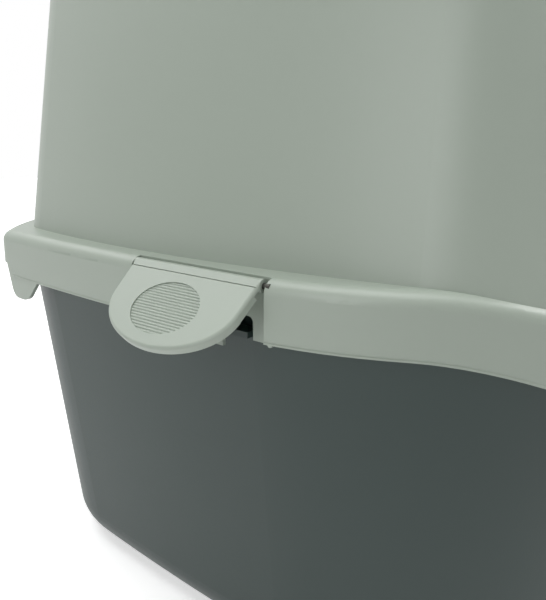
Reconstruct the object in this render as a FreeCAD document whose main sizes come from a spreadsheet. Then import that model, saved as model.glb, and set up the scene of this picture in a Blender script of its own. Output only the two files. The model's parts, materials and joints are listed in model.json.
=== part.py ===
import FreeCAD, Part
import math
import os
import Sketcher
from FreeCAD import Placement, Rotation, Vector

# Covered litter box. Millimetres, +Z up, front at -Y, origin on the floor under the middle.

os.makedirs("parts", exist_ok=True)
doc = FreeCAD.newDocument("CoveredLitterBox")
sheet = doc.addObject("Spreadsheet::Sheet", "Sizes")

# Millimetres and degrees; a Place is a share of the rim's length, from the rear
drivingSizes = {
    # plan of the rim
    "rimWidth": 431.2, "rimLength": 514, "sideRadius": 2241, "widestPlace": 0.5163,
    "frontCornerRadius": 183.3, "frontRadius": 400, "rearRadius": 260, "rearCornerRadius": 14,
    # rim of the hood
    "rimHeight": 238, "skirtDrop": 30.2, "rearSkirtDrop": 21.8, "rimEdgeRadius": 7,
    "dipPlace": 0.814, "dipLength": 114.4, "dipDepth": 25.5,
    "beadProud": 0.4, "beadHeight": 0.9, "nubRadius": 1.2, "nubFromLatch": 50.6,
    # tongues that hang from the skirt at the rear corners
    "tongueFromRear": 110.5, "tongueRearRun": 8.2, "tongueTip": 20, "tongueFrontRun": 15,
    "tongueOverlap": 14, "tongueDrop": 44.3, "tongueRoot": 21, "tongueRearRound": 9,
    "tongueFrontRound": 16, "tongueToeRound": 4,
    # hood above the ledge
    "hoodSideInset": 17.1, "hoodRearInset": 15, "hoodFrontInset": 28.2, "hoodSideRadius": 790,
    "hoodWidestPlace": 0.4776, "hoodFrontCorner": 78.7, "hoodFrontRadius": 700,
    "hoodRearCorner": 60, "hoodHeight": 212, "hoodDraft": 7.7, "hoodWall": 2.5, "roofEdgeRadius": 30,
    # tray
    "trayWall": 2.6, "trayFloor": 3, "trayInset": 12.5, "trayDraft": 6.1, "trayRearCorner": 90,
    "trayBottomRadius": 27, "flangeThickness": 3, "flangeLip": 13, "flangeLipWall": 2.4,
    "flangeInset": 4, "standClearance": 2.5, "restGap": 0.3, "reliefGap": 6,
    # side latches
    "latchPlace": 0.5984, "latchWidth": 91, "latchTaper": 1.4, "latchLength": 46.3,
    "latchTilt": 47.5, "latchPlate": 2.4, "latchEdge": 2.2, "latchEdgeWall": 1.8, "latchKink": 19.7,
    "latchEdgeRound": 1.6, "latchRootClear": 4, "hingeInset": 4, "hingeDrop": 3.5,
    "latchBarrel": 3.2, "latchPinRadius": 1.5, "pinClearance": 0.05, "grooveWidth": 0.5,
    "grooveDepth": 0.6, "notchDepth": 7.6, "notchGap": 2, "cheekWall": 2.2, "cheekDrop": 13,
    "backWall": 2, "backDrop": 32, "windowHalf": 35.2, "windowTop": 20.5, "windowRound": 3,
    "padRadiusLong": 22.5, "padRadiusShort": 15.2, "padFromHinge": 24, "padShift": 1.4,
    "padDepth": 0.8, "ribPitch": 1.6, "ribRadius": 0.7, "ribHeight": 0.42,
    "hookHalf": 18.5, "hookThickness": 2, "hookDrop": 37, "catchClearance": 0.4,
    "catchInset": 6, "catchHalf": 33, "catchTop": 28.2, "catchHeight": 3,
    # entrance
    "porchWidth": 214, "porchHeight": 184, "porchInset": 18, "porchDepth": 90, "porchCorner": 22,
    "openingWidth": 184, "openingHeight": 155, "openingCorner": 9, "frameFlange": 11,
    "frameThickness": 5, "frameCollar": 2, "collarDepth": 12, "frameCornerGain": 6.6,
    "frameEdgeRound": 2, "frameFit": 0.2, "sillAboveLedge": 16, "flapGap": 2.2,
    "flapThickness": 2.4, "flapBarrel": 3.6, "flapShoulder": 20, "axleRadius": 1.6,
    "axleBelowTop": 10, "axleInset": 3.5, "magnetWidth": 34, "magnetHeight": 8,
    "magnetThickness": 2.5, "magnetLift": 1.5, "keeperThickness": 0.75,
    # carrying handle
    "wellEndGap": 8, "wellWidth": 60, "wellDepth": 16, "wellPlace": 0.5, "wellCorner": 6,
    "handleWidth": 168, "handleBar": 9, "handleReach": 40, "handleCorner": 4,
    "handlePinRadius": 2.5, "handleFloorGap": 4,
    # roof filter
    "filterLength": 120, "filterWidth": 56, "filterPlace": 0.2957, "cassetteDepth": 18,
    "cassetteWall": 1.6, "cassetteLip": 4, "carbonThickness": 9, "carbonFit": 0.5,
    "coverMargin": 3, "coverThickness": 3, "coverCorner": 5, "coverEdgeRound": 1.2,
    "coverSlots": 11, "slotWidth": 4, "coverSlotShare": 0.8, "cassetteSlotShare": 0.72,
    "coverPinRadius": 1.2, "coverBarrel": 2.8, "coverBarrelLength": 70, "coverHingeGap": 1.2,
    "coverLugGap": 0.4, "coverLugLength": 6.6, "coverLugHalf": 2.7, "coverLugRise": 2.1,
    # feet
    "footRadius": 13, "footStem": 4, "footStemHeight": 2, "footSpreadX": 112, "footPlace": 0.2568,
}
for row, (alias, value) in enumerate(drivingSizes.items(), start=1):
    sheet.set(f"A{row}", alias)
    sheet.set(f"B{row}", str(value))
    sheet.setAlias(f"B{row}", alias)
doc.recompute()

bite = 1  # how far a fused piece reaches into its neighbour
over = 5  # how far a cutting piece passes the surface that it cuts
near = 0.01  # tolerance for finding edges
halfTurn = 180


def size(alias):
    return float(sheet.get(alias))


def listed(*aliases):
    return [size(alias) for alias in aliases]


def bind(item, formulas):
    for prop, formula in formulas.items():
        item.setExpression(prop, formula)


def onCircle(centre, radius, degrees):
    angle = math.radians(degrees)
    return centre + Vector(radius * math.cos(angle), radius * math.sin(angle), 0)


def direction(start, end):
    return math.degrees(math.atan2(end.y - start.y, end.x - start.x)) % 360


def arcThrough(centre, radius, degrees):
    points = [onCircle(centre, radius, angle) for angle in degrees]
    return Part.Arc(*points).toShape()


def meetingCentre(first, firstReach, second, secondReach, towards):
    """Left-hand point at given distances from two centres, at the front (-1) or the rear (1)."""
    gap = second - first
    along = (firstReach ** 2 - secondReach ** 2 + gap.Length ** 2) / (2 * gap.Length)
    across = math.sqrt(firstReach ** 2 - along ** 2)
    unit = Vector(gap).normalize()
    side = Vector(unit.y, -unit.x, 0)
    base = first + unit * along
    return max((base + side * across, base - side * across), key=lambda point: towards * point.y)


class Plan:
    """Outline seen from above: bowed sides, front and rear arcs, and a corner arc between them."""

    def __init__(self, halfWidth, widestY, sideRadius, frontY, frontRadius, frontCorner, backY, backRadius):
        self.sideRadius, self.frontRadius, self.backRadius = sideRadius, frontRadius, backRadius
        self.frontCorner = frontCorner
        self.sideCentre = Vector(sideRadius - halfWidth, widestY, 0)
        self.frontCentre = Vector(0, frontY + frontRadius, 0)
        self.backCentre = Vector(0, backY - backRadius, 0)
        self.cornerCentre = meetingCentre(self.sideCentre, sideRadius - frontCorner,
                                          self.frontCentre, frontRadius - frontCorner, -1)

    def wire(self, inset, backCorner, level=0):
        """Closed outline at a distance inside the plan, with its own rear corner radius."""
        side, back = self.sideRadius - inset, self.backRadius - inset
        earCentre = meetingCentre(self.sideCentre, side - backCorner,
                                  self.backCentre, back - backCorner, 1)
        backStart = direction(self.backCentre, earCentre)
        sideStart = direction(self.sideCentre, earCentre)
        sideEnd = direction(self.sideCentre, self.cornerCentre)
        frontStart = direction(self.frontCentre, self.cornerCentre)
        left = []
        for centre, radius, start, end in (
                (earCentre, backCorner, backStart, sideStart),
                (self.sideCentre, side, sideStart, sideEnd),
                (self.cornerCentre, self.frontCorner - inset, sideEnd, frontStart)):
            left.append(arcThrough(centre, radius, (start, (start + end) / 2, end)))
        right = [edge.mirror(Vector(0, 0, 0), Vector(1, 0, 0)) for edge in left]
        front = arcThrough(self.frontCentre, self.frontRadius - inset,
                           (frontStart, -halfTurn / 2, halfTurn - frontStart))
        rear = arcThrough(self.backCentre, back, (halfTurn - backStart, halfTurn / 2, backStart))
        outline = Part.Wire(Part.sortEdges([rear] + left + [front] + right)[0])
        outline.translate(Vector(0, 0, level))
        return outline

    def prism(self, inset, backCorner, low, high):
        face = Part.Face(self.wire(inset, backCorner, low))
        return face.extrude(Vector(0, 0, high - low))

    def loft(self, lowInset, highInset, backCorner, low, high):
        wires = [self.wire(lowInset, backCorner, low), self.wire(highInset, backCorner, high)]
        return Part.makeLoft(wires, True, True)


rimWidth, rimLength, rimHeight = listed("rimWidth", "rimLength", "rimHeight")
frontY, rearY = -rimLength / 2, rimLength / 2


def place(alias):
    """Y of a place given as a share of the rim's length, from the rear."""
    return rearY - size(alias) * rimLength


rearRadius, rearCorner, sideRadius = listed("rearRadius", "rearCornerRadius", "sideRadius")
rimPlan = Plan(rimWidth / 2, place("widestPlace"), sideRadius,
               frontY, size("frontRadius"), size("frontCornerRadius"), rearY, rearRadius)
hoodRearInset = size("hoodRearInset")
hoodPlan = Plan(rimWidth / 2 - size("hoodSideInset"), place("hoodWidestPlace"),
                size("hoodSideRadius"), frontY + size("hoodFrontInset"), size("hoodFrontRadius"),
                size("hoodFrontCorner"), rearY - hoodRearInset, rearRadius - hoodRearInset)

# Side profile of the rim: level along the sides, dipping in an S towards the entrance

dipY = place("dipPlace")
dipLength, dipDepth = listed("dipLength", "dipDepth")
dipRadius = (dipLength ** 2 + dipDepth ** 2) / (4 * dipDepth)
wide = max(rimWidth, rimLength)


def dipEdges(drop):
    crestCentre = Vector(0, dipY, rimHeight - dipRadius)
    valleyCentre = Vector(0, dipY - dipLength, rimHeight - dipDepth + dipRadius)
    unit = (valleyCentre - crestCentre).normalize()
    crestR, valleyR = dipRadius - drop, dipRadius + drop
    top = crestCentre + Vector(0, 0, crestR)
    joint = crestCentre + unit * crestR
    end = valleyCentre - Vector(0, 0, valleyR)
    middle = math.pi / 4 + math.atan2(unit.z, unit.y) / 2
    towards = Vector(0, math.cos(middle), math.sin(middle))
    return [
        Part.makeLine(Vector(0, wide, top.z), top),
        Part.Arc(top, crestCentre + towards * crestR, joint).toShape(),
        Part.Arc(joint, valleyCentre - towards * valleyR, end).toShape(),
        Part.makeLine(end, Vector(0, -wide, end.z)),
    ]


def dipBand(highDrop, lowDrop):
    """Slab between two offsets of the rim's profile, right across the box."""
    high, low = dipEdges(highDrop), dipEdges(lowDrop)
    ends = [
        Part.makeLine(high[-1].Vertexes[-1].Point, low[-1].Vertexes[-1].Point),
        Part.makeLine(low[0].Vertexes[0].Point, high[0].Vertexes[0].Point),
    ]
    outline = Part.Wire(Part.sortEdges(high + low + ends)[0])
    outline.translate(Vector(-wide, 0, 0))
    return Part.Face(outline).extrude(Vector(2 * wide, 0, 0))


def ledgeLevel(y):
    """Height of the rim's profile at a place along the box."""
    run = dipY - y
    if run <= 0:
        return rimHeight
    if run >= dipLength:
        return rimHeight - dipDepth
    if run <= dipLength / 2:
        return rimHeight - dipRadius + math.sqrt(dipRadius ** 2 - run ** 2)
    rest = dipLength - run
    return rimHeight - dipDepth + dipRadius - math.sqrt(dipRadius ** 2 - rest ** 2)


# Simple solids

def block(xs, ys, zs):
    shape = Part.makeBox(xs[1] - xs[0], ys[1] - ys[0], zs[1] - zs[0])
    shape.translate(Vector(xs[0], ys[0], zs[0]))
    return shape


def barAlongY(radius, length, centre):
    return Part.makeCylinder(radius, length, centre - Vector(0, length / 2, 0), Vector(0, 1, 0))


def barAlongX(radius, length, centre):
    return Part.makeCylinder(radius, length, centre - Vector(length / 2, 0, 0), Vector(1, 0, 0))


def uprightEdges(shape, height):
    return [edge for edge in shape.Edges if abs(edge.BoundBox.ZLength - height) < near]


def roundedPrism(width, height, corner, depth, centre):
    """Rounded rectangle in XZ, pushed towards +Y from its centre."""
    shape = Part.makeBox(width, depth, height)
    shape.translate(centre - Vector(width / 2, 0, height / 2))
    lengthwise = [edge for edge in shape.Edges if abs(edge.BoundBox.YLength - depth) < near]
    return shape.makeFillet(corner, lengthwise)


def placed(shape, placement):
    moved = shape.copy()
    moved.Placement = placement.multiply(moved.Placement)
    return moved


def mirrorSpans(first, last):
    """The same span on both sides of zero."""
    return [(first, last), (-last, -first)]


nodes = []


def addNode(item, label):
    item.Label = label
    nodes.append(item)


def addShape(label, shape, placement=Placement()):
    item = doc.addObject("Part::Feature", label)
    item.Shape = shape.removeSplitter()
    item.Placement = placement
    addNode(item, label)


def addPin(label, radius, height, start, turn):
    pin = doc.addObject("Part::Cylinder", label)
    bind(pin, {"Radius": radius, "Height": height})
    pin.Placement = Placement(start, turn)
    addNode(pin, label)
    return pin


alongX = Rotation(Vector(0, 1, 0), 90)
alongY = Rotation(Vector(1, 0, 0), -90)

# Local frames at the side latches: X outward, Y along the hinge, Z up, origin on the rim's crest

latchY = place("latchPlace")
latchAngle = math.degrees(math.asin((rimPlan.sideCentre.y - latchY) / sideRadius))
latchX = rimPlan.sideCentre.x - sideRadius * math.cos(math.radians(latchAngle))
upright = Vector(0, 0, 1)
latchFrames = {
    "left": Placement(Vector(latchX, latchY, rimHeight), Rotation(upright, halfTurn + latchAngle)),
    "right": Placement(Vector(-latchX, latchY, rimHeight), Rotation(upright, -latchAngle)),
}
rearwards = {"left": -1, "right": 1}  # which way the frame's Y points
latchWidth, notchDepth, notchGap = listed("latchWidth", "notchDepth", "notchGap")
hingeInset, hingeDrop, pinRadius = listed("hingeInset", "hingeDrop", "latchPinRadius")
pinClearance, cheekWall, backWall = listed("pinClearance", "cheekWall", "backWall")
notchHalf = latchWidth / 2 + notchGap
hingeAxis = Vector(-hingeInset, 0, -hingeDrop)

# Places of the entrance, the handle and the filter

hoodTop = rimHeight + size("hoodHeight")
porchWidth, porchHeight, porchCorner = listed("porchWidth", "porchHeight", "porchCorner")
porchY = frontY + size("porchInset")
openingWidth, openingHeight, openingCorner = listed("openingWidth", "openingHeight", "openingCorner")
frameThickness, frameFit, frameCollar = listed("frameThickness", "frameFit", "frameCollar")
sill = ledgeLevel(porchY) + size("sillAboveLedge")
openingMiddle = Vector(0, porchY, sill + openingHeight / 2)
wellWidth, wellDepth = listed("wellWidth", "wellDepth")
handleBar, handlePinRadius, handleWidth = listed("handleBar", "handlePinRadius", "handleWidth")
wellLength = handleWidth + 2 * size("wellEndGap")
wellY = place("wellPlace")
wellFloor = hoodTop - wellDepth
handleAxis = Vector(0, wellY + wellWidth / 2 - handleBar,
                    wellFloor + size("handleFloorGap") + handleBar / 2)
filterLength, filterWidth = listed("filterLength", "filterWidth")
filterY = place("filterPlace")
cassetteDepth, cassetteWall, cassetteLip = listed("cassetteDepth", "cassetteWall", "cassetteLip")
restGap = size("restGap")
coverBottom = hoodTop + cassetteWall + restGap
coverMargin = cassetteLip + size("coverMargin")
coverWidth = filterWidth + 2 * coverMargin
coverBarrel, coverHingeGap, coverPinRadius = listed("coverBarrel", "coverHingeGap", "coverPinRadius")
coverAxis = Vector(0, filterY + coverWidth / 2 + coverHingeGap + coverBarrel, coverBottom + coverBarrel)
coverBarrelLength = size("coverBarrelLength")
coverPinLength = coverBarrelLength + 2 * (size("coverLugGap") + size("coverLugLength"))

# Hood

hoodWall, skirtDrop, hoodRearCorner = listed("hoodWall", "skirtDrop", "hoodRearCorner")
roofEdgeRadius = size("roofEdgeRadius")
hoodSlope = math.tan(math.radians(size("hoodDraft")))
rimLow, rimTop = rimHeight - dipDepth - skirtDrop - 4 * over, rimHeight + 3 * over


def isCrest(edge, outline, middleDrop):
    """Whether an edge of a rim slab runs along the outside of its upper face."""
    first, last = edge.ParameterRange
    for share in (0.2, 0.5, 0.8):
        point = edge.valueAt(first + (last - first) * share)
        if point.z < ledgeLevel(point.y) - middleDrop:
            return False
        if outline.distToShape(Part.Vertex(point.x, point.y, 0))[0] > near:
            return False
    return True


def rimSlab(inset, highDrop, lowDrop):
    """Rim from one offset of the profile to another, with a rounded crest."""
    corner = rearCorner - inset
    slab = rimPlan.prism(inset, corner, rimLow, rimTop).common(dipBand(highDrop, lowDrop))
    outline = rimPlan.wire(inset, corner)
    crest = [edge for edge in slab.Edges if isCrest(edge, outline, (highDrop + lowDrop) / 2)]
    return slab.makeFillet(size("rimEdgeRadius") - inset, crest)


def dome(inset):
    """Drafted hood from below the ledge up to the roof, with a rounded roof edge."""
    low, high = rimHeight - dipDepth - hoodWall - bite, hoodTop - inset
    lowInset, highInset = inset + (low - rimHeight) * hoodSlope, inset + (high - rimHeight) * hoodSlope
    shell = hoodPlan.loft(lowInset, highInset, hoodRearCorner - inset, low, high)
    roof = [edge for edge in shell.Edges if edge.BoundBox.ZMin > high - near]
    return shell.makeFillet(roofEdgeRadius - inset, roof)


def skirtRing(low, high):
    ring = rimPlan.prism(0, rearCorner, low, high)
    return ring.cut(rimPlan.prism(hoodWall, rearCorner - hoodWall, low - bite, high + bite))


def tongues():
    """Rounded tabs that hang from the skirt just in front of the rear corners."""
    rear = rearY - size("tongueFromRear")
    tipRear = rear - size("tongueRearRun")
    tipFront = tipRear - size("tongueTip")
    toe = tipFront - size("tongueFrontRun")
    front = toe - size("tongueOverlap")
    root, tip = rimHeight - size("tongueRoot"), rimHeight - size("tongueDrop")
    edgeLevel = rimHeight - skirtDrop
    corners = [(rear, root), (tipRear, tip), (tipFront, tip),
               (toe, edgeLevel), (front, edgeLevel), (front, root)]
    outline = Part.makePolygon([Vector(-wide, y, z) for y, z in corners + corners[:1]])
    tab = Part.Face(outline).extrude(Vector(2 * wide, 0, 0))
    for (y, z), radius in zip(corners[1:], ("tongueRearRound", "tongueFrontRound", "tongueToeRound")):
        edge = [e for e in tab.Edges if e.distToShape(Part.Vertex(0, y, z))[0] < near]
        tab = tab.makeFillet(size(radius), edge)
    return tab.common(skirtRing(tip - bite, root + bite))


def bead():
    """Thin raised line along the lower edge of the skirt."""
    proud = size("beadProud")
    ring = rimPlan.prism(-proud, rearCorner + proud, rimLow, rimTop)
    ring = ring.cut(rimPlan.prism(bite, rearCorner - bite, rimLow - bite, rimTop + bite))
    return ring.common(dipBand(skirtDrop - size("beadHeight"), skirtDrop))


def latchHousing(rim):
    """Cheeks for the pin and the wall behind the latch, in the latch's own frame."""
    shapes = []
    for ys in mirrorSpans(notchHalf, notchHalf + cheekWall):
        cheek = block((-notchDepth - bite, 0), ys, (-size("cheekDrop"), 0))
        shapes.append(cheek.common(rim))
    ends = notchHalf + cheekWall
    half, top, corner = listed("windowHalf", "windowTop", "windowRound")
    drop = size("backDrop")
    wall = block((-notchDepth - backWall, -notchDepth), (-ends, ends), (-drop, -hoodWall / 2))
    window = block((-notchDepth - 2 * backWall, over), (-half, half), (-drop - over, -top))
    rounded = [edge for edge in window.Edges
               if edge.BoundBox.ZMin > -top - near and edge.BoundBox.XLength > over]
    shapes.append(wall.cut(window.makeFillet(corner, rounded)))
    return shapes


def hoodShape():
    rim = rimSlab(0, 0, skirtDrop)
    porch = roundedPrism(porchWidth, porchHeight, porchCorner, size("porchDepth"), openingMiddle)
    hood = rim.fuse([dome(0), porch, bead()])
    porchInside = roundedPrism(porchWidth - 2 * hoodWall, porchHeight - 2 * hoodWall, porchCorner - hoodWall,
                               size("porchDepth") + over, openingMiddle + Vector(0, hoodWall, 0))
    collarRoom = 2 * (frameCollar + frameFit)
    opening = roundedPrism(openingWidth + collarRoom, openingHeight + collarRoom,
                           openingCorner + frameCollar + frameFit, 4 * over,
                           openingMiddle - Vector(0, 2 * over, 0))
    rearEdge = block((-wide, wide), (rearY - size("tongueFromRear") - size("tongueRearRun"), rearY + over),
                     (rimHeight - skirtDrop - over, rimHeight - size("rearSkirtDrop")))
    hood = hood.cut([rimSlab(hoodWall, hoodWall, skirtDrop + 2 * over), dome(hoodWall), porchInside,
                     opening, rearEdge])
    hood = hood.fuse(tongues())
    for side, frame in latchFrames.items():
        notch = block((-notchDepth, 4 * over), (-notchHalf, notchHalf), (-skirtDrop - over, over))
        hood = hood.cut(placed(notch, frame))
        housing = latchHousing(placed(rim, frame.inverse()))
        hood = hood.fuse([placed(shape, frame) for shape in housing])
        nubPlace = Vector(0, -rearwards[side] * size("nubFromLatch"), -skirtDrop)
        nub = placed(barAlongX(size("nubRadius"), 4 * over, nubPlace), frame)
        hood = hood.fuse(nub.common(skirtRing(rimLow, rimTop)))
        shaft = barAlongY(pinRadius, 2 * (notchHalf + cheekWall), hingeAxis)
        hood = hood.cut(placed(shaft, frame))
    return roofFittings(hood)


def filterBlock(gain, low, high):
    """Block on the filter's plan, wider by a given amount on each side."""
    halfX, halfY = filterLength / 2 + gain, filterWidth / 2 + gain
    return block((-halfX, halfX), (filterY - halfY, filterY + halfY), (low, high))


def roofFittings(hood):
    """Well for the handle, hole for the filter and lugs for its cover."""
    halfLength, halfWidth = wellLength / 2, wellWidth / 2
    pan = block((-halfLength - hoodWall, halfLength + hoodWall),
                (wellY - halfWidth - hoodWall, wellY + halfWidth + hoodWall), (wellFloor - hoodWall, hoodTop))
    well = block((-halfLength, halfLength), (wellY - halfWidth, wellY + halfWidth),
                 (wellFloor, hoodTop + over))
    well = well.makeFillet(size("wellCorner"), uprightEdges(well, wellDepth + over))
    vent = filterBlock(0, hoodTop - 4 * over, hoodTop + over)
    lugs = []
    lugStart = coverBarrelLength / 2 + size("coverLugGap")
    lugHalf = size("coverLugHalf")
    for xs in mirrorSpans(lugStart, coverPinLength / 2):
        lugs.append(block(xs, (coverAxis.y - lugHalf, coverAxis.y + lugHalf),
                          (hoodTop - bite, coverAxis.z + size("coverLugRise"))))
    shafts = [barAlongX(handlePinRadius, wellLength + 2 * hoodWall + 2 * bite, handleAxis),
              barAlongX(coverPinRadius, coverPinLength, coverAxis)]
    return hood.fuse([pan] + lugs).cut([well, vent] + shafts)


addShape("hood", hoodShape())

# Tray

trayWall, trayInset, flangeInset = listed("trayWall", "trayInset", "flangeInset")
trayRearCorner, trayBottomRadius = listed("trayRearCorner", "trayBottomRadius")
traySlope = math.tan(math.radians(size("trayDraft")))
trayBottom, flangeLip = listed("standClearance", "flangeLip")
flangeTop = hoodWall + restGap
footX, footY = size("footSpreadX"), place("footPlace")
footPlaces = {"rear_left": (-1, 1), "rear_right": (1, 1), "front_left": (-1, -1), "front_right": (1, -1)}


def trayBlock(inset, bottom, radius):
    lowInset = trayInset + inset + (rimHeight - bottom) * traySlope
    highInset = trayInset + inset + (rimHeight - rimTop) * traySlope
    shell = rimPlan.loft(lowInset, highInset, trayRearCorner - inset, bottom, rimTop)
    base = [edge for edge in shell.Edges if edge.BoundBox.ZMax < bottom + near]
    return shell.makeFillet(radius, base)


def trayShape():
    floorTop = trayBottom + size("trayFloor")
    inside = trayBlock(trayWall, floorTop, trayBottomRadius - trayWall)
    aboveFlange = dipBand(-dipDepth - 2 * rimTop + 2 * rimHeight, flangeTop)
    tray = trayBlock(0, trayBottom, trayBottomRadius).cut(aboveFlange)
    edge = rimSlab(flangeInset, flangeTop, flangeTop + flangeLip)
    flange = edge.common(dipBand(0, flangeTop + size("flangeThickness")))
    lipInset = flangeInset + size("flangeLipWall")
    lip = edge.cut(rimPlan.prism(lipInset, rearCorner - lipInset, rimLow - bite, rimTop + bite))
    tray = tray.fuse([flange, lip]).cut(inside)
    reliefHalf = notchHalf + cheekWall + size("reliefGap")
    relief = block((-notchDepth - backWall - 2 * restGap, over), (-reliefHalf, reliefHalf),
                   (-flangeTop - flangeLip - over, over))
    catchTop, catchHalf = -size("catchTop"), size("catchHalf")
    catch = block((-trayInset - 2 * over, -size("catchInset")), (-catchHalf, catchHalf),
                  (catchTop - size("catchHeight"), catchTop))
    for frame in latchFrames.values():
        tray = tray.cut(placed(relief, frame))
        tray = tray.fuse(placed(catch, frame).cut(inside))
    for signX, signY in footPlaces.values():
        socket = Vector(signX * footX, signY * footY, trayBottom)
        tray = tray.cut(Part.makeCylinder(size("footStem"), size("footStemHeight"), socket))
    return tray


addShape("tray", trayShape())

# Rubber feet

for corner, (signX, signY) in footPlaces.items():
    body = doc.addObject("PartDesign::Body", "foot_" + corner)
    origin = {feature.Role: feature for feature in body.Origin.OriginFeatures}
    heights = {"footRadius": "Sizes.standClearance",
               "footStem": "Sizes.standClearance + Sizes.footStemHeight"}
    for radius, height in heights.items():
        sketch = body.newObject("Sketcher::SketchObject", radius + "Circle")
        sketch.AttachmentSupport = [(origin["XY_Plane"], "")]
        sketch.MapMode = "FlatFace"
        sketch.addGeometry(Part.Circle(Vector(0, 0, 0), upright, size(radius)), False)
        sketch.addConstraint(Sketcher.Constraint("Coincident", 0, 3, -1, 1))
        sketch.addConstraint(Sketcher.Constraint("Radius", 0, size(radius)))
        sketch.setExpression("Constraints[1]", "Sizes." + radius)
        pad = body.newObject("PartDesign::Pad", radius + "Pad")
        pad.Profile = sketch
        pad.setExpression("Length", height)
    bind(body, {"Placement.Base.x": f"{signX} * Sizes.footSpreadX",
                "Placement.Base.y": f"{signY} * Sizes.rimLength * (0.5 - Sizes.footPlace)"})
    addNode(body, "foot_" + corner)

# Side latches: a tilted thumb plate on a barrel, with a hook hanging behind it

plateFrame = Placement(hingeAxis, Rotation(Vector(0, 1, 0), 90 - size("latchTilt")))
latchLength, latchKink, latchPlate = listed("latchLength", "latchKink", "latchPlate")
latchEdge, latchEdgeWall, latchBarrel = listed("latchEdge", "latchEdgeWall", "latchBarrel")
padDepth, padRadiusShort, padFromHinge = listed("padDepth", "padRadiusShort", "padFromHinge")
ribPitch, ribRadius, ribHeight = listed("ribPitch", "ribRadius", "ribHeight")
hookThickness, catchClearance, catchInset = listed("hookThickness", "catchClearance", "catchInset")


def latchOutline(inset, low, high):
    """Plate in its own plane: sides that close in a little, then a half ellipse."""
    half = latchWidth / 2 - inset
    waist = half - size("latchTaper")
    tip = Vector(latchLength - inset, 0, 0)
    ellipse = Part.Ellipse(Vector(latchKink, waist, 0), tip, Vector(latchKink, 0, 0))
    edges = [
        Part.makeLine(Vector(0, half, 0), Vector(0, -half, 0)),
        Part.makeLine(Vector(0, -half, 0), Vector(latchKink, -waist, 0)),
        Part.ArcOfEllipse(ellipse, 0, math.pi).toShape(),
        Part.makeLine(Vector(latchKink, waist, 0), Vector(0, half, 0)),
    ]
    outline = Part.Wire(Part.sortEdges(edges)[0])
    outline.translate(Vector(0, 0, low))
    return Part.Face(outline).extrude(Vector(0, 0, high - low))


def padDisc(low, high, rearward):
    ellipse = Part.Ellipse(Vector(0, 0, 0), size("padRadiusLong"), padRadiusShort)
    disc = Part.Face(Part.Wire(ellipse.toShape()))
    disc.rotate(Vector(0, 0, 0), upright, 90)
    disc.translate(Vector(padFromHinge, rearward * size("padShift"), low))
    return disc.extrude(Vector(0, 0, high - low))


def latchShape(rearward):
    top, under = latchBarrel, latchBarrel - latchPlate
    plate = latchOutline(0, under - latchEdge, top)
    rounded = [e for e in plate.Edges if e.BoundBox.ZMin > top - near and e.BoundBox.XMax > near]
    plate = plate.makeFillet(size("latchEdgeRound"), rounded)
    low = under - latchEdge - bite
    hollow = latchOutline(latchEdgeWall, low, under)
    root = latchBarrel + size("latchRootClear")
    hollow = hollow.fuse(block((-2 * over, root), (-wide, wide), (low, under)))
    padFloor = top - padDepth
    groove = block((latchBarrel, latchBarrel + size("grooveWidth")), (-wide, wide),
                   (top - size("grooveDepth"), over))
    plate = plate.cut([hollow, padDisc(padFloor, over, rearward), groove])
    count = int(padRadiusShort / ribPitch)
    ribs = []
    for k in range(-count, count + 1):
        middle = Vector(padFromHinge + k * ribPitch, 0, padFloor + ribHeight - ribRadius)
        ribs.append(barAlongY(ribRadius, latchWidth, middle))
    ribs = Part.makeCompound(ribs).common(padDisc(padFloor - ribHeight, top, rearward))
    plate = plate.fuse(ribs.Solids)
    plate.Placement = plateFrame
    barrel = barAlongY(latchBarrel, latchWidth, hingeAxis)
    hookHalf, hookInner = size("hookHalf"), -catchInset + catchClearance
    stem = block((hookInner, hookInner + hookThickness), (-hookHalf, hookHalf),
                 (-size("hookDrop"), -hingeDrop))
    latch = plate.fuse([barrel, stem])
    return latch.cut(barAlongY(pinRadius + pinClearance, latchWidth + 2 * bite, hingeAxis))


for side, frame in latchFrames.items():
    addShape("latch_" + side, latchShape(rearwards[side]), frame)
    pin = addPin("latch_pin_" + side, "Sizes.latchPinRadius",
                 "Sizes.latchWidth + 2 * (Sizes.notchGap + Sizes.cheekWall)",
                 hingeAxis - Vector(0, notchHalf + cheekWall, 0), alongY)
    pin.Placement = frame.multiply(pin.Placement)

# Entrance: frame, swinging flap, axle, magnet and keeper

flapGap, flapThickness, flapBarrel = listed("flapGap", "flapThickness", "flapBarrel")
axleRadius = size("axleRadius")
axleCentre = Vector(0, porchY + size("axleInset"), sill + openingHeight - size("axleBelowTop"))
flapWidth = openingWidth - 2 * flapGap
magnetWidth, magnetHeight = listed("magnetWidth", "magnetHeight")


def frameShape():
    front = openingMiddle - Vector(0, frameThickness, 0)
    flangeRoom, collarRoom = 2 * size("frameFlange"), 2 * frameCollar
    flange = roundedPrism(openingWidth + flangeRoom, openingHeight + flangeRoom,
                          openingCorner + size("frameCornerGain"), frameThickness, front)
    rounded = [edge for edge in flange.Edges if edge.BoundBox.YMax < front.y + near]
    flange = flange.makeFillet(size("frameEdgeRound"), rounded)
    collar = roundedPrism(openingWidth + collarRoom, openingHeight + collarRoom,
                          openingCorner + frameCollar, frameThickness + size("collarDepth"), front)
    through = frameThickness + size("collarDepth") + 2 * over
    opening = roundedPrism(openingWidth, openingHeight, openingCorner, through, front - Vector(0, over, 0))
    shape = flange.fuse(collar).cut(opening)
    return shape.cut(barAlongX(axleRadius, openingWidth + collarRoom, axleCentre))


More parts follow.
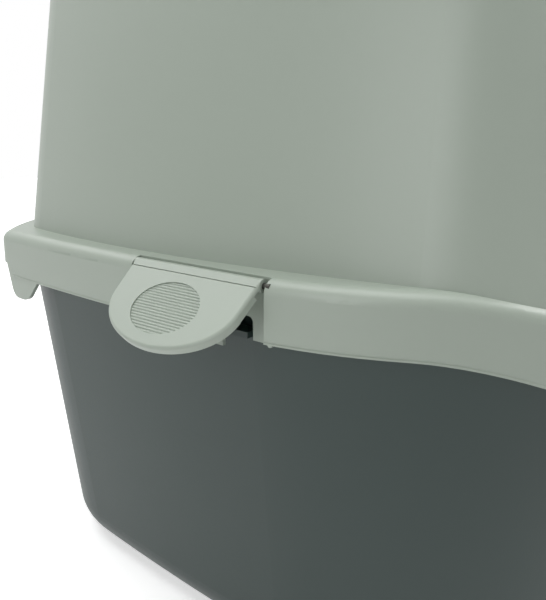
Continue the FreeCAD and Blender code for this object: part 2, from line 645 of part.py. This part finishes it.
def flapShape():
    bottom = sill + flapGap
    height = axleCentre.z - bottom
    back = axleCentre.y - flapThickness / 2
    panel = roundedPrism(flapWidth, height, openingCorner - flapGap, flapThickness,
                         Vector(0, back, bottom + height / 2))
    shoulder = block((-flapWidth / 2, flapWidth / 2), (back, back + flapThickness),
                     (axleCentre.z - size("flapShoulder"), axleCentre.z))
    shape = panel.fuse([shoulder, barAlongX(flapBarrel, flapWidth, axleCentre)])
    return shape.cut(barAlongX(axleRadius + pinClearance, flapWidth + 2 * bite, axleCentre))


addShape("door_frame", frameShape())
addShape("door_flap", flapShape())
addPin("flap_axle", "Sizes.axleRadius", "Sizes.openingWidth + 2 * Sizes.frameCollar",
       axleCentre - Vector(openingWidth / 2 + frameCollar, 0, 0), alongX)
magnetZ = sill + flapGap + size("magnetLift")
plates = {
    "flap_magnet": ("Sizes.magnetThickness", "Sizes.magnetHeight",
                    Vector(-magnetWidth / 2, axleCentre.y + flapThickness / 2, magnetZ)),
    "keeper_plate": ("Sizes.magnetHeight", "Sizes.keeperThickness",
                     Vector(-magnetWidth / 2, axleCentre.y - magnetHeight / 2, sill)),
}
for label, (width, height, corner) in plates.items():
    plate = doc.addObject("Part::Box", label)
    bind(plate, {"Length": "Sizes.magnetWidth", "Width": width, "Height": height})
    plate.Placement.Base = corner
    addNode(plate, label)

# Folding handle in a well in the roof

handleHalf = handleWidth / 2


def handleShape():
    gripY = handleAxis.y - size("handleReach")
    low, high = handleAxis.z - handleBar / 2, handleAxis.z + handleBar / 2
    grip = block((-handleHalf, handleHalf), (gripY - handleBar / 2, gripY + handleBar / 2), (low, high))
    corners = [edge for edge in uprightEdges(grip, handleBar) if edge.BoundBox.YMax < gripY]
    pieces = []
    for xs in mirrorSpans(handleHalf - handleBar, handleHalf):
        pieces.append(block(xs, (gripY, handleAxis.y), (low, high)))
        pieces.append(barAlongX(handleBar / 2, handleBar, Vector(sum(xs) / 2, handleAxis.y, handleAxis.z)))
    shape = grip.makeFillet(size("handleCorner"), corners).fuse(pieces)
    return shape.cut(barAlongX(handlePinRadius + pinClearance, handleWidth + 2 * bite, handleAxis))


addShape("carry_handle", handleShape())
for side, start in (("left", -wellLength / 2 - hoodWall), ("right", handleHalf - handleBar)):
    addPin("handle_pin_" + side, "Sizes.handlePinRadius",
           "Sizes.wellEndGap + Sizes.handleBar + Sizes.hoodWall",
           handleAxis + Vector(start, 0, 0), alongX)

# Roof filter: cassette, carbon pad, slotted cover and its pin


def slots(share, low, high):
    """Row of slots along X, for the air to pass."""
    count = int(size("coverSlots"))
    pitch = filterLength / (count + 1)
    halfLength, halfWidth = filterWidth * share / 2, size("slotWidth") / 2
    row = []
    for k in range(count):
        x = pitch * (k + 1) - filterLength / 2
        row.append(block((x - halfWidth, x + halfWidth),
                         (filterY - halfLength, filterY + halfLength), (low, high)))
    return row


def cassetteShape():
    floor, top = hoodTop - cassetteDepth, hoodTop + cassetteWall
    shape = filterBlock(-frameFit, floor, top).fuse(filterBlock(cassetteLip, hoodTop, top))
    inside = filterBlock(-frameFit - cassetteWall, floor + cassetteWall, top + over)
    return shape.cut([inside] + slots(size("cassetteSlotShare"), floor - bite, floor + cassetteWall + bite))


def coverShape():
    top = coverBottom + size("coverThickness")
    plate = filterBlock(coverMargin, coverBottom, top)
    plate = plate.makeFillet(size("coverCorner"), uprightEdges(plate, size("coverThickness")))
    edge = [e for e in plate.Edges if e.BoundBox.ZMin > top - near]
    plate = plate.makeFillet(size("coverEdgeRound"), edge)
    plate = plate.cut(slots(size("coverSlotShare"), coverBottom - bite, top + bite))
    arm = block((-coverBarrelLength / 2, coverBarrelLength / 2),
                (coverAxis.y - coverBarrel - coverHingeGap - bite, coverAxis.y), (coverBottom, coverAxis.z))
    shape = plate.fuse([arm, barAlongX(coverBarrel, coverBarrelLength, coverAxis)])
    return shape.cut(barAlongX(coverPinRadius + pinClearance, coverBarrelLength + 2 * bite, coverAxis))


addShape("filter_cassette", cassetteShape())
addShape("filter_cover", coverShape())
carbon = doc.addObject("Part::Box", "carbon_pad")
room = "Sizes.{} - 2 * (Sizes.frameFit + Sizes.cassetteWall + Sizes.carbonFit)"
bind(carbon, {"Length": room.format("filterLength"), "Width": room.format("filterWidth"),
              "Height": "Sizes.carbonThickness"})
carbonMargin = frameFit + cassetteWall + size("carbonFit")
carbon.Placement.Base = Vector(carbonMargin - filterLength / 2, filterY + carbonMargin - filterWidth / 2,
                               hoodTop - cassetteDepth + cassetteWall)
addNode(carbon, "carbon_pad")
addPin("filter_cover_pin", "Sizes.coverPinRadius",
       "Sizes.coverBarrelLength + 2 * (Sizes.coverLugGap + Sizes.coverLugLength)",
       coverAxis - Vector(coverPinLength / 2, 0, 0), alongX)

# Check and write

doc.recompute()
for item in doc.Objects:
    if "Invalid" in item.State or "Error" in item.State:
        raise RuntimeError(f"{item.Label} is {item.State}")
for item in nodes:
    if item.Shape.isNull() or not item.Shape.isValid() or not item.Shape.Solids:
        raise RuntimeError(f"{item.Label} has no valid solid")
for item in nodes:
    item.Shape.exportStep(f"parts/{item.Label}.step")
    box = item.Shape.BoundBox
    corners = [box.XMin, box.XMax, box.YMin, box.YMax, box.ZMin, box.ZMax]
    print(f"{item.Label:18s} solids {len(item.Shape.Solids)} volume {item.Shape.Volume:10.0f}",
          [round(value, 1) for value in corners])
for label, point in (("cover axis", coverAxis), ("handle axis", handleAxis), ("flap axle", axleCentre)):
    print(label, [round(value, 3) for value in point])
for side, frame in latchFrames.items():
    hinge, turn = frame.multVec(hingeAxis), frame.Rotation.multVec(Vector(0, -1, 0))
    print("latch axis", side, [round(value, 3) for value in hinge], [round(value, 5) for value in turn])
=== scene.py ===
import json
import math
import bpy
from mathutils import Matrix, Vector

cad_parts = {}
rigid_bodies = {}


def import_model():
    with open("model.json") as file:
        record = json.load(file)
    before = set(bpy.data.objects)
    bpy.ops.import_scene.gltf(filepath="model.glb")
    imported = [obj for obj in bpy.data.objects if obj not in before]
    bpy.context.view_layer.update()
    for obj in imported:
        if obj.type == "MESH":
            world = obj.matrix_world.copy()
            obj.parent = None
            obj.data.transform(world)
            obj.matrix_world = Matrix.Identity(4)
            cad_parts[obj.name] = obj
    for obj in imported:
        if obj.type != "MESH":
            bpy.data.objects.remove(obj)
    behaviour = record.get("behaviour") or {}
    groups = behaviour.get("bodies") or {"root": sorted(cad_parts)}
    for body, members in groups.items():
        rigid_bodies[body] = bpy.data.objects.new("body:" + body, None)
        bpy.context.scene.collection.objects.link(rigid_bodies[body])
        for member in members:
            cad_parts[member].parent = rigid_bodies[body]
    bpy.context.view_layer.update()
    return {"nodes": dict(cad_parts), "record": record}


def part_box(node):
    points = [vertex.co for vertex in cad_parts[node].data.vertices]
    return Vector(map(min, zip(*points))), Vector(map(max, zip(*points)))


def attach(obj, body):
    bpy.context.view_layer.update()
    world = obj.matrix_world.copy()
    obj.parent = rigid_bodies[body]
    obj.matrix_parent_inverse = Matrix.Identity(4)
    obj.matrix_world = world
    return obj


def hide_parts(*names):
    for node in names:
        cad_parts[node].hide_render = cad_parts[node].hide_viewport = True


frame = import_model()
nodes = frame["nodes"]
print("stage: frame loaded,", len(nodes), "nodes")

ledgeOverTray = 0.0028
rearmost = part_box("hood")[1].y
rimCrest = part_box("tray")[1].z + ledgeOverTray


# A socket with arithmetic: an expression on values adds its Math nodes
class Wire:
    def __init__(self, tree, socket):
        self.tree = tree
        self.socket = socket

    def made(self, operation, first, second):
        return self.tree.node("ShaderNodeMath", {"operation": operation}, {0: first, 1: second}, 0)

    def __add__(self, other):
        return self.made("ADD", self, other)

    def __radd__(self, other):
        return self.made("ADD", other, self)

    def __sub__(self, other):
        return self.made("SUBTRACT", self, other)

    def __rsub__(self, other):
        return self.made("SUBTRACT", other, self)

    def __mul__(self, other):
        return self.made("MULTIPLY", self, other)

    def __rmul__(self, other):
        return self.made("MULTIPLY", other, self)

    def __truediv__(self, other):
        return self.made("DIVIDE", self, other)

    def __rtruediv__(self, other):
        return self.made("DIVIDE", other, self)


class Tree:
    # Any node: its settings first, then the values or links of its inputs
    def node(self, kind, settings, inputs, output):
        made = self.tree.nodes.new(kind)
        for key, value in settings.items():
            setattr(made, key, value)
        for key, value in inputs.items():
            self.feed(made.inputs[key], value)
        return Wire(self, made.outputs[output])

    def feed(self, socket, value):
        if isinstance(value, Wire):
            self.tree.links.new(value.socket, socket)
        else:
            socket.default_value = value

    def vector(self, operation, inputs, output=0):
        return self.node("ShaderNodeVectorMath", {"operation": operation}, inputs, output)

    def noiseAt(self, place, scale, detail, roughness):
        values = {"Vector": place, "Scale": scale, "Detail": detail, "Roughness": roughness}
        return self.node("ShaderNodeTexNoise", {}, values, 0)


class Shader(Tree):
    def __init__(self, name):
        self.material = bpy.data.materials.new(name)
        self.material.use_nodes = True
        self.tree = self.material.node_tree
        self.surface = self.tree.nodes["Principled BSDF"]
        self.place = self.node("ShaderNodeTexCoord", {}, {}, "Object")

    # A stretch draws the noise out along an axis, for marks that run one way
    def noise(self, scale, detail=2.0, roughness=0.5, stretch=None):
        place = self.vector("MULTIPLY", {0: self.place, 1: stretch}) if stretch else self.place
        return self.noiseAt(place, scale, detail, roughness)

    # 0 below the first value, 1 above the second
    def ramp(self, value, low, high):
        inputs = {"Value": value, "From Min": low, "From Max": high}
        return self.node("ShaderNodeMapRange", {"interpolation_type": "SMOOTHSTEP"}, inputs, 0)

    def mixColour(self, factor, first, second):
        return self.node("ShaderNodeMix", {"data_type": "RGBA"}, {0: factor, 6: first, 7: second}, 2)

    def bump(self, height, strength, distance):
        inputs = {"Strength": strength, "Distance": distance, "Height": height}
        return self.node("ShaderNodeBump", {}, inputs, "Normal")

    def finish(self, **values):
        for key, value in values.items():
            self.feed(self.surface.inputs[key], value)
        return self.material


def shaded(colour, factor):
    return tuple(min(1.0, c * factor) for c in colour[:3]) + (1.0,)


noiseMiddle = 0.5

# Moulded plastic: flow variation, fine grain, faint handling marks and an uneven satin sheen
moulding = {
    "flow": {"scale": 7.0, "detail": 4.0, "roughness": 0.55, "stretch": (1.0, 1.0, 0.35)},
    "fine": {"detail": 3.0, "roughness": 0.6},
    "peel": {"detail": 2.0, "roughness": 0.5},
    "speck": {"scale": 420.0, "detail": 1.0, "roughness": 0.4},
    "speckRange": (0.70, 0.80), "speckShade": 0.55,
    "rub": {"scale": 22.0, "detail": 5.0, "roughness": 0.7, "stretch": (1.0, 1.0, 9.0)},
    "rubRange": (0.60, 0.80),
    "fineSheen": 0.14, "flowSheen": 0.08, "rubSheen": 0.05, "fineHeight": 0.6, "peelHeight": 0.4,
}
plastics = {
    "sage_plastic": {"name": "sageSatin", "colour": (0.330, 0.378, 0.325), "variation": 0.02,
                     "rough": 0.38, "shine": 0.50, "fineScale": 1500.0, "peelScale": 260.0,
                     "bump": (0.12, 0.0002), "specks": 0.03},
    "dark_plastic": {"name": "trayGraphite", "colour": (0.024, 0.041, 0.037), "variation": 0.05,
                     "rough": 0.44, "shine": 0.38, "fineScale": 1300.0, "peelScale": 220.0,
                     "bump": (0.16, 0.0003), "specks": 0.10},
    "dark_trim": {"name": "trimGraphite", "colour": (0.024, 0.041, 0.037), "variation": 0.04,
                  "rough": 0.42, "shine": 0.38, "fineScale": 1700.0, "peelScale": 300.0,
                  "bump": (0.15, 0.0002), "specks": 0.08},
    "foot_rubber": {"name": "footRubber", "colour": (0.022, 0.022, 0.022), "variation": 0.10,
                    "rough": 0.78, "shine": 0.50, "fineScale": 900.0, "peelScale": 200.0,
                    "bump": (0.4, 0.0004), "specks": 0.20},
    "magnet": {"name": "magnetCoat", "colour": (0.03, 0.03, 0.032), "variation": 0.05,
               "rough": 0.35, "shine": 0.50, "fineScale": 2000.0, "peelScale": 300.0,
               "bump": (0.1, 0.0001), "specks": 0.05},
}


def mouldedPlastic(look):
    s = Shader(look["name"])
    flow = s.noise(**moulding["flow"])
    fine = s.noise(look["fineScale"], **moulding["fine"])
    peel = s.noise(look["peelScale"], **moulding["peel"])
    specks = s.ramp(s.noise(**moulding["speck"]), *moulding["speckRange"])
    rubbed = s.ramp(s.noise(**moulding["rub"]), *moulding["rubRange"])
    colour, variation = look["colour"], look["variation"]
    tint = s.mixColour(flow, shaded(colour, 1 - variation), shaded(colour, 1 + variation))
    tint = s.mixColour(specks * look["specks"], tint, shaded(colour, moulding["speckShade"]))
    rough = look["rough"] + (fine - noiseMiddle) * moulding["fineSheen"]
    rough = rough + (flow - noiseMiddle) * moulding["flowSheen"] + rubbed * moulding["rubSheen"]
    height = fine * moulding["fineHeight"] + peel * moulding["peelHeight"]
    return s.finish(**{"Base Color": tint, "Roughness": rough, "Specular IOR Level": look["shine"],
                       "Normal": s.bump(height, *look["bump"])})


# Turned steel of the pins: fine drawn lines and a faint stain. The latch pins get a near-black steel as
# painted shade, standing in for the dark gap at the latch's end
steel = {
    "drawn": {"scale": 2200.0, "detail": 3.0, "roughness": 0.6, "stretch": (0.2, 1.0, 1.0)},
    "stain": {"scale": 160.0, "detail": 3.0, "roughness": 0.6},
    "rough": 0.22, "drawnSheen": 0.16, "stainSheen": 0.08, "bump": (0.2, 0.00005),
    "bright": ("brushedPinSteel", (0.50, 0.50, 0.50, 1), (0.68, 0.68, 0.67, 1)),
    # near-black pin steel: painted shade for the dark gap at the latch's end
    "black": ("gapShadePinSteel", (0.05, 0.05, 0.045, 1), (0.10, 0.10, 0.09, 1)),
}


def turnedSteel(name, dull, bright):
    s = Shader(name)
    drawn = s.noise(**steel["drawn"])
    stain = s.noise(**steel["stain"])
    rough = steel["rough"] + drawn * steel["drawnSheen"] + stain * steel["stainSheen"]
    return s.finish(**{"Base Color": s.mixColour(drawn, dull, bright), "Metallic": 1.0,
                       "Roughness": rough, "Normal": s.bump(drawn, *steel["bump"])})


felt = {
    "fibre": {"scale": 1600.0, "detail": 5.0, "roughness": 0.8},
    "clump": {"scale": 240.0, "detail": 3.0, "roughness": 0.6},
    "fibreTint": 0.6, "clumpTint": 0.4, "dark": (0.008, 0.008, 0.008, 1), "pale": (0.060, 0.060, 0.058, 1),
    "rough": 0.85, "fibreSheen": 0.12, "bump": (0.8, 0.0006),
}


def carbonFelt():
    s = Shader("carbonFelt")
    fibre = s.noise(**felt["fibre"])
    clump = s.noise(**felt["clump"])
    tint = s.mixColour(fibre * felt["fibreTint"] + clump * felt["clumpTint"], felt["dark"], felt["pale"])
    return s.finish(**{"Base Color": tint, "Roughness": felt["rough"] + fibre * felt["fibreSheen"],
                       "Normal": s.bump(fibre + clump, *felt["bump"])})


grain = {
    "facet": {"scale": 3200.0, "detail": 2.0, "roughness": 0.6},
    "dark": (0.004, 0.004, 0.004, 1), "pale": (0.022, 0.022, 0.023, 1),
    "rough": 0.32, "facetSheen": 0.3, "bump": (0.5, 0.0003),
}


def carbonGrain():
    s = Shader("carbonGrain")
    facet = s.noise(**grain["facet"])
    return s.finish(**{"Base Color": s.mixColour(facet, grain["dark"], grain["pale"]),
                       "Roughness": grain["rough"] + facet * grain["facetSheen"],
                       "Normal": s.bump(facet, *grain["bump"])})


smoke = {
    "haze": {"scale": 60.0, "detail": 4.0, "roughness": 0.6},
    "scuff": {"scale": 30.0, "detail": 4.0, "roughness": 0.6, "stretch": (1.0, 1.0, 14.0)},
    "scuffRange": (0.58, 0.76), "dark": (0.15, 0.17, 0.165, 1), "pale": (0.20, 0.22, 0.21, 1),
    "rough": 0.10, "hazeSheen": 0.10, "scuffSheen": 0.14, "alpha": 0.58, "hazeAlpha": 0.1,
    "bump": (0.08, 0.0004),
}


def smokedPanel():
    s = Shader("smokedPanel")
    haze = s.noise(**smoke["haze"])
    scuff = s.ramp(s.noise(**smoke["scuff"]), *smoke["scuffRange"])
    rough = smoke["rough"] + haze * smoke["hazeSheen"] + scuff * smoke["scuffSheen"]
    return s.finish(**{"Base Color": s.mixColour(haze, smoke["dark"], smoke["pale"]), "Roughness": rough,
                       "Alpha": smoke["alpha"] + haze * smoke["hazeAlpha"],
                       "Normal": s.bump(haze, *smoke["bump"])})


finishes = {slot: mouldedPlastic(look) for slot, look in plastics.items()}
finishes.update(steel=turnedSteel(*steel["bright"]), carbon=carbonFelt(), smoke_panel=smokedPanel())
print("stage: finishes made")

slotOf = {row["node"]: row["material_slot"] for row in frame["record"]["subparts"]}
# The latch pins take the near-black steel: painted shade where the gap beside the latch is dark
gapShadeSteel = turnedSteel(*steel["black"])
for name, item in nodes.items():
    item.data.materials.clear()
    item.data.materials.append(gapShadeSteel if name.startswith("latch_pin") else finishes[slotOf[name]])


# A node tree of named inputs whose result becomes the mesh of a new object
class Geometry(Tree):
    def __init__(self, name, inputs):
        self.name = name
        self.tree = bpy.data.node_groups.new(name, "GeometryNodeTree")
        interface = self.tree.interface
        interface.new_socket("Geometry", in_out="OUTPUT", socket_type="NodeSocketGeometry")
        self.values = {}
        for key, (kind, value) in inputs.items():
            socket = interface.new_socket(key, in_out="INPUT", socket_type="NodeSocket" + kind)
            self.values[socket.identifier] = value
        self.given = self.tree.nodes.new("NodeGroupInput")
        self.out = self.tree.nodes.new("NodeGroupOutput")

    def input(self, key):
        return Wire(self, self.given.outputs[key])

    def painted(self, shape, material):
        return self.node("GeometryNodeSetMaterial", {}, {"Geometry": shape, "Material": material}, 0)

    def built(self, result):
        self.feed(self.out.inputs[0], result)
        scene = bpy.context.scene.collection.objects
        holder = bpy.data.objects.new(self.name + "Holder", bpy.data.meshes.new(self.name + "Holder"))
        scene.link(holder)
        modifier = holder.modifiers.new(self.name, "NODES")
        modifier.node_group = self.tree
        for identifier, value in self.values.items():
            modifier[identifier] = value
        depsgraph = bpy.context.evaluated_depsgraph_get()
        mesh = bpy.data.meshes.new_from_object(holder.evaluated_get(depsgraph))
        bpy.data.objects.remove(holder)
        piece = bpy.data.objects.new(self.name, mesh)
        scene.link(piece)
        return piece


# Felted carbon pad in the filter cassette: a slab with an uneven nap and loose grains in it
feltPad = {
    "gap": 0.0006, "nap": 0.0005, "napScale": 420.0, "napDetail": 3.0, "napRoughness": 0.6,
    "cells": (72, 34, 6), "grain": 0.0006, "grainSizes": (0.45, 1.0), "density": 260000.0,
    "fill": 0.9, "seed": 7,
}


def addFeltPad():
    low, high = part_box("carbon_pad")
    margin = feltPad["gap"] + feltPad["nap"]
    g = Geometry("carbonFeltPad", {
        "Extent": ("Vector", tuple(side - 2 * margin for side in high - low)),
        "Centre": ("Vector", tuple((low + high) / 2)),
        "Nap": ("Float", feltPad["nap"]), "Nap scale": ("Float", feltPad["napScale"]),
        "Grain": ("Float", feltPad["grain"]), "Density": ("Float", feltPad["density"]),
        "Seed": ("Int", feltPad["seed"]),
    })
    x, y, z = feltPad["cells"]
    counts = {"Size": g.input("Extent"), "Vertices X": x, "Vertices Y": y, "Vertices Z": z}
    slab = g.node("GeometryNodeMeshCube", {}, counts, "Mesh")
    place = g.node("GeometryNodeInputPosition", {}, {}, 0)
    normal = g.node("GeometryNodeInputNormal", {}, {}, 0)
    nap = g.noiseAt(place, g.input("Nap scale"), feltPad["napDetail"], feltPad["napRoughness"])
    lift = (nap - noiseMiddle) * 2.0 * g.input("Nap")
    raised = g.vector("SCALE", {0: normal, "Scale": lift})
    slab = g.node("GeometryNodeSetPosition", {}, {"Geometry": slab, "Offset": raised}, 0)
    slab = g.painted(slab, finishes["carbon"])
    scatter = g.tree.nodes.new("GeometryNodeDistributePointsOnFaces")
    for key, value in (("Mesh", slab), ("Density", g.input("Density")), ("Seed", g.input("Seed"))):
        g.feed(scatter.inputs[key], value)
    ball = g.node("GeometryNodeMeshIcoSphere", {}, {"Radius": g.input("Grain"), "Subdivisions": 1}, "Mesh")
    least, most = feltPad["grainSizes"]
    size = g.node("FunctionNodeRandomValue", {}, {2: least, 3: most, "Seed": g.input("Seed")}, 1)
    grains = g.node("GeometryNodeInstanceOnPoints", {}, {
        "Points": Wire(g, scatter.outputs["Points"]), "Instance": ball,
        "Rotation": Wire(g, scatter.outputs["Rotation"]), "Scale": size}, 0)
    grains = g.painted(g.node("GeometryNodeRealizeInstances", {}, {"Geometry": grains}, 0), carbonGrain())
    joined = g.tree.nodes.new("GeometryNodeJoinGeometry")
    for part in (grains, slab):
        g.tree.links.new(part.socket, joined.inputs[0])
    moved = {"Geometry": Wire(g, joined.outputs[0]), "Translation": g.input("Centre")}
    pad = g.built(g.node("GeometryNodeTransform", {}, moved, 0))
    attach(pad, "hood_shell")
    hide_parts("carbon_pad")
    print("stage: felt pad,", len(pad.data.polygons), "faces")


addFeltPad()

# Studio: a large lamp overhead, one behind for the crests, a soft box at the left, one high in front
studio = {
    "floor": 9.0, "floorColour": (0.90, 0.90, 0.90, 1), "floorShade": 0.98, "floorGrain": 40.0,
    "floorRough": 0.7, "grainSheen": 0.1, "glowNear": 0.55, "glowReach": (0.6, 2.0),
    "world": 0.06, "mirrored": 1.0,
    "lamps": [
        ("overheadLamp", (-0.45, 0.05, 1.85), (1.3, 1.3), 18.0),
        ("crestLamp", (-0.25, 1.05, 1.35), (1.0, 1.0), 6.5),
        ("sideBox", (-1.50, -0.12, 0.65), (0.6, 0.8), 5.5),
        ("frontLamp", (0.55, -1.10, 1.60), (0.7, 0.7), 20.0),
    ],
}


def addLamp(name, place, extent, power):
    data = bpy.data.lights.new(name, "AREA")
    data.shape = "RECTANGLE"
    data.size, data.size_y = extent
    data.energy = power
    lamp = bpy.data.objects.new(name, data)
    lamp.location = place
    aim = Vector((0, 0, rimCrest)) - Vector(place)
    lamp.rotation_euler = aim.to_track_quat("-Z", "Y").to_euler()
    bpy.context.scene.collection.objects.link(lamp)


# The floor glows in what the camera and the reflections see, most of all far from the object
def addFloor():
    half = studio["floor"] / 2
    mesh = bpy.data.meshes.new("floor")
    corners = [(-half, -half, 0), (half, -half, 0), (half, half, 0), (-half, half, 0)]
    mesh.from_pydata(corners, [], [(0, 1, 2, 3)])
    item = bpy.data.objects.new("floor", mesh)
    bpy.context.scene.collection.objects.link(item)
    s = Shader("paleFloor")
    mottle = s.noise(studio["floorGrain"])
    colour = studio["floorColour"]
    tint = s.mixColour(mottle, colour, shaded(colour, studio["floorShade"]))
    path = s.tree.nodes.new("ShaderNodeLightPath")
    seen = Wire(s, path.outputs["Is Camera Ray"]) + Wire(s, path.outputs["Is Glossy Ray"])
    distance = s.vector("LENGTH", {0: s.place}, "Value")
    far = s.ramp(distance, *studio["glowReach"])
    near = (studio["glowNear"],) * 3 + (1,)
    glow = s.mixColour(seen, (0, 0, 0, 1), s.mixColour(far, near, (1, 1, 1, 1)))
    rough = studio["floorRough"] + mottle * studio["grainSheen"]
    mesh.materials.append(s.finish(**{"Base Color": tint, "Roughness": rough,
                                      "Emission Color": glow, "Emission Strength": 1.0}))


# White to the camera and in reflections, and much dimmer where it lights the object
def addWorld():
    world = bpy.data.worlds.new("studioWorld")
    world.use_nodes = True
    w = Tree()
    w.tree = world.node_tree
    path = w.tree.nodes.new("ShaderNodeLightPath")
    seen = w.node("ShaderNodeMath", {"operation": "MAXIMUM"}, {
        0: Wire(w, path.outputs["Is Camera Ray"]), 1: Wire(w, path.outputs["Is Transmission Ray"])}, 0)
    glossy = Wire(w, path.outputs["Is Glossy Ray"])
    strength = w.node("ShaderNodeMix", {}, {0: glossy, 2: studio["world"], 3: studio["mirrored"]}, 0)
    strength = w.node("ShaderNodeMix", {}, {0: seen, 2: strength, 3: 1.0}, 0)
    light = w.node("ShaderNodeBackground", {}, {"Color": (1, 1, 1, 1), "Strength": strength}, 0)
    w.feed(w.tree.nodes["World Output"].inputs["Surface"], light)
    bpy.context.scene.world = world


for lampName, place, extent, power in studio["lamps"]:
    addLamp(lampName, place, extent, power)
addFloor()
addWorld()
bpy.context.scene.view_settings.view_transform = "Standard"
print("stage: studio lit")

# Camera at the photograph's place: front left, close to the side latch
view = {
    "x": -0.4374, "fromRear": 0.5659, "aboveRim": 0.063, "azimuth": -47.6, "down": 13.2,
    "lens": 42.0, "sensor": 36.0, "nearest": 0.01,
}


def addCamera():
    data = bpy.data.cameras.new("camera")
    data.lens = view["lens"]
    data.sensor_width = view["sensor"]
    data.clip_start = view["nearest"]
    camera = bpy.data.objects.new("camera", data)
    camera.location = (view["x"], rearmost - view["fromRear"], rimCrest + view["aboveRim"])
    camera.rotation_euler = (math.radians(90 - view["down"]), 0, math.radians(view["azimuth"]))
    bpy.context.scene.collection.objects.link(camera)
    bpy.context.scene.camera = camera


addCamera()
print("stage: camera placed")
